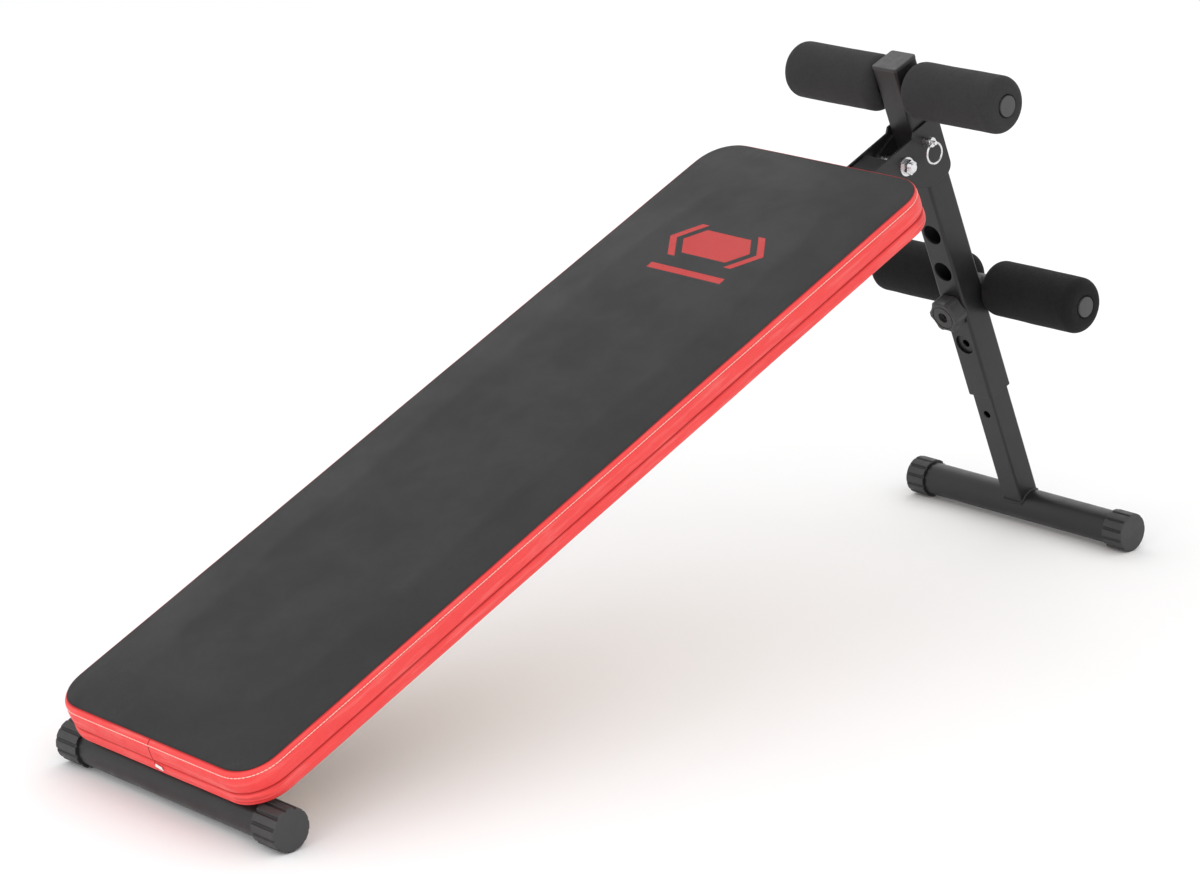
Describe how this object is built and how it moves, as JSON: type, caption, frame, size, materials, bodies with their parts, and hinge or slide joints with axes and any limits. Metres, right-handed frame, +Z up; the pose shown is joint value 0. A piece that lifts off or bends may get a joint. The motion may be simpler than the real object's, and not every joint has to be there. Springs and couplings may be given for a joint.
{
  "type": "decline sit up bench",
  "caption": "Inclined padded sit-up bench on a square-tube rail, with a folding, telescoping leg, foam leg rollers and round floor bars.",
  "frame": {"origin": "on the floor, under the middle of the bench's overall length and width", "axes": "+X from the low end of the pad towards the leg, +Y across the bench to the left as seen from the low end, +Z up"},
  "size_m": [1.3854, 0.3728, 0.6291],
  "materials": {
    "frame_paint": "satin",
    "cap_plastic": "matte",
    "plug_plastic": "satin",
    "guide_plastic": "satin",
    "knob_plastic": "satin",
    "zinc": "satin",
    "board_wood": "matte",
    "pad_cover": "satin",
    "roller_foam": "matte"
  },
  "bodies": {
    "bench_frame": {"main_rail": "frame_paint", "front_foot_tube": "frame_paint", "front_foot_cap_left": "cap_plastic", "front_foot_cap_right": "cap_plastic", "pad_bar_low": "frame_paint", "pad_bar_high": "frame_paint", "pad_screws": "zinc", "pad_tee_nuts": "zinc", "pad_board": "board_wood", "pad_cushion": "pad_cover", "hinge_cheek_left": "frame_paint", "hinge_cheek_right": "frame_paint", "pivot_bolt": "zinc", "pivot_nut": "zinc", "pivot_washers": "zinc", "pull_pin_barrel": "zinc", "pull_pin_spring": "zinc"},
    "pull_pin": {"pull_pin": "zinc"},
    "pull_ring": {"pull_ring": "zinc"},
    "leg": {"leg_post": "frame_paint", "post_cap": "knob_plastic", "hinge_lug_left": "frame_paint", "hinge_lug_right": "frame_paint", "pivot_bush": "zinc", "leg_sleeve": "guide_plastic", "upper_roller_tube": "frame_paint", "upper_tube_plug_left": "plug_plastic", "upper_tube_plug_right": "plug_plastic"},
    "leg_extension": {"leg_inner_tube": "frame_paint", "rear_foot_tube": "frame_paint", "rear_foot_cap_left": "cap_plastic", "rear_foot_cap_right": "cap_plastic"},
    "lower_bar": {"lower_roller_tube": "frame_paint", "lower_stub": "frame_paint", "lower_tube_plug_left": "plug_plastic", "lower_tube_plug_right": "plug_plastic"},
    "clamp_collar": {"clamp_collar": "zinc"},
    "clamp_knob": {"clamp_knob": "knob_plastic", "clamp_stud": "zinc"},
    "upper_foam_left": {"upper_foam_left": "roller_foam"},
    "upper_foam_right": {"upper_foam_right": "roller_foam"},
    "lower_foam_left": {"lower_foam_left": "roller_foam"},
    "lower_foam_right": {"lower_foam_right": "roller_foam"}
  },
  "joints": [
    {"name": "leg_fold", "type": "hinge", "parent": "bench_frame", "child": "leg", "pos_m": [0.42852, 0, 0.49841], "axis": [0, 1, 0], "range_deg": [0, 84]},
    {"name": "leg_extend", "type": "slide", "parent": "leg", "child": "leg_extension", "axis": [0.3717, 0, -0.9284], "range_m": [-0.1064, 0.0532]},
    {"name": "lower_bar_slide", "type": "slide", "parent": "leg", "child": "lower_bar", "axis": [0.9284, 0, 0.3717], "range_m": [0, 0.045]},
    {"name": "clamp_travel", "type": "slide", "parent": "leg", "child": "clamp_collar", "axis": [0.9284, 0, 0.3717], "range_m": [-0.012, 0]},
    {"name": "clamp_turn", "type": "hinge", "parent": "clamp_collar", "child": "clamp_knob", "pos_m": [0.5273, 0, 0.29656], "axis": [0.9284, 0, 0.3717], "range_deg": [-3460, 4]},
    {"name": "pull_pin_slide", "type": "slide", "parent": "bench_frame", "child": "pull_pin", "axis": [0, -1, 0], "range_m": [0, 0.004], "stiffness_N_per_m": 800, "springref_m": -0.003, "deforming": ["pull_pin_spring"]},
    {"name": "pull_ring_swing", "type": "hinge", "parent": "pull_pin", "child": "pull_ring", "pos_m": [0.46116, -0.0365, 0.52364], "axis": [1, 0, 0], "range_deg": [-80, 10]},
    {"name": "upper_foam_left_spin", "type": "hinge", "parent": "leg", "child": "upper_foam_left", "pos_m": [0.44268, 0, 0.58863], "axis": [0, 1, 0], "continuous": true},
    {"name": "upper_foam_right_spin", "type": "hinge", "parent": "leg", "child": "upper_foam_right", "pos_m": [0.44268, 0, 0.58863], "axis": [0, 1, 0], "continuous": true},
    {"name": "lower_foam_left_spin", "type": "hinge", "parent": "lower_bar", "child": "lower_foam_left", "pos_m": [0.59015, 0, 0.32172], "axis": [0, 1, 0], "continuous": true},
    {"name": "lower_foam_right_spin", "type": "hinge", "parent": "lower_bar", "child": "lower_foam_right", "pos_m": [0.59015, 0, 0.32172], "axis": [0, 1, 0], "continuous": true}
  ],
  "couplings": [
    {"joint": "clamp_turn", "follows": "clamp_travel", "rad_per_m": 5026.5}
  ]
}
